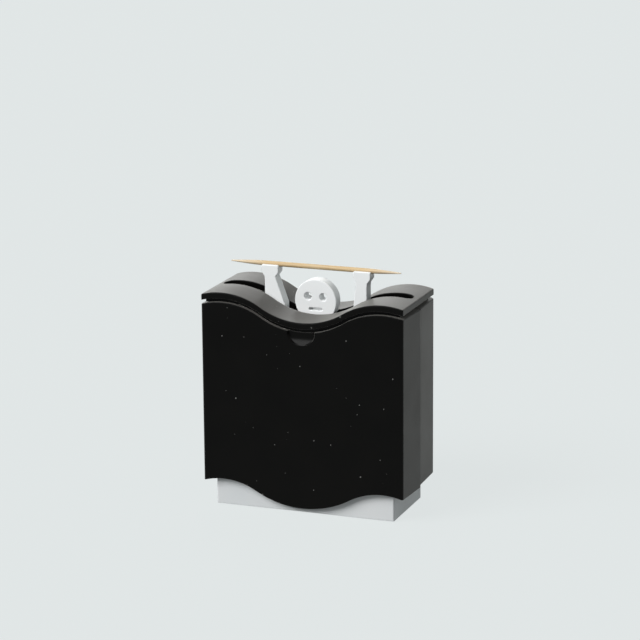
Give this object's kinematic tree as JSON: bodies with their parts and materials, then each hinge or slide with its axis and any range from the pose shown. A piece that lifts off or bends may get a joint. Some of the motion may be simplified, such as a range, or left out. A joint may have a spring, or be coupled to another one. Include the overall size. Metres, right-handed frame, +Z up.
{
  "type": "toothpick dispenser",
  "caption": "Press-down toothpick dispenser: a black hood with a wavy slotted lid slides over a white base, and a figure-shaped lifter raises a toothpick.",
  "frame": {"origin": "on the table, under the middle of the base", "axes": "+X to the right as seen from the front, -Y to the front with the thumb recess, +Z up"},
  "size_m": [0.0778, 0.035, 0.0888],
  "materials": {
    "black_plastic": "satin moulded black plastic",
    "white_plastic": "satin white plastic",
    "pin_steel": "ground steel",
    "spring_steel": "drawn spring wire",
    "screw_steel": "zinc-plated",
    "pad_rubber": "matt rubber",
    "toothpick_wood": "plain birch"
  },
  "bodies": {
    "base": {"base_box": "white_plastic", "bottom_plate": "white_plastic", "figure": "white_plastic", "base_screw_1": "screw_steel", "base_screw_2": "screw_steel", "base_screw_3": "screw_steel", "base_screw_4": "screw_steel", "figure_screw_left": "screw_steel", "figure_screw_right": "screw_steel", "foot_pad_front_left": "pad_rubber", "foot_pad_front_right": "pad_rubber", "foot_pad_rear_left": "pad_rubber", "foot_pad_rear_right": "pad_rubber", "return_spring_left": "spring_steel", "return_spring_right": "spring_steel"},
    "hood": {"front_shell": "black_plastic", "rear_shell": "black_plastic", "hopper": "black_plastic", "guide_pin_left": "pin_steel", "guide_pin_right": "pin_steel"},
    "lid": {"lid": "black_plastic"},
    "toothpick": {"toothpick": "toothpick_wood"}
  },
  "joints": [
    {"name": "hood_slide", "type": "slide", "parent": "base", "child": "hood", "axis": [0, 0, 1], "range_m": [0, 0.028], "deforming": ["return_spring_left", "return_spring_right"]},
    {"name": "lid_lift", "type": "slide", "parent": "hood", "child": "lid", "axis": [0, 0, 1], "range_m": [0, 0.04]},
    {"name": "toothpick_lift", "type": "slide", "parent": "base", "child": "toothpick", "axis": [0, 0, 1], "range_m": [0, 0.035]}
  ]
}
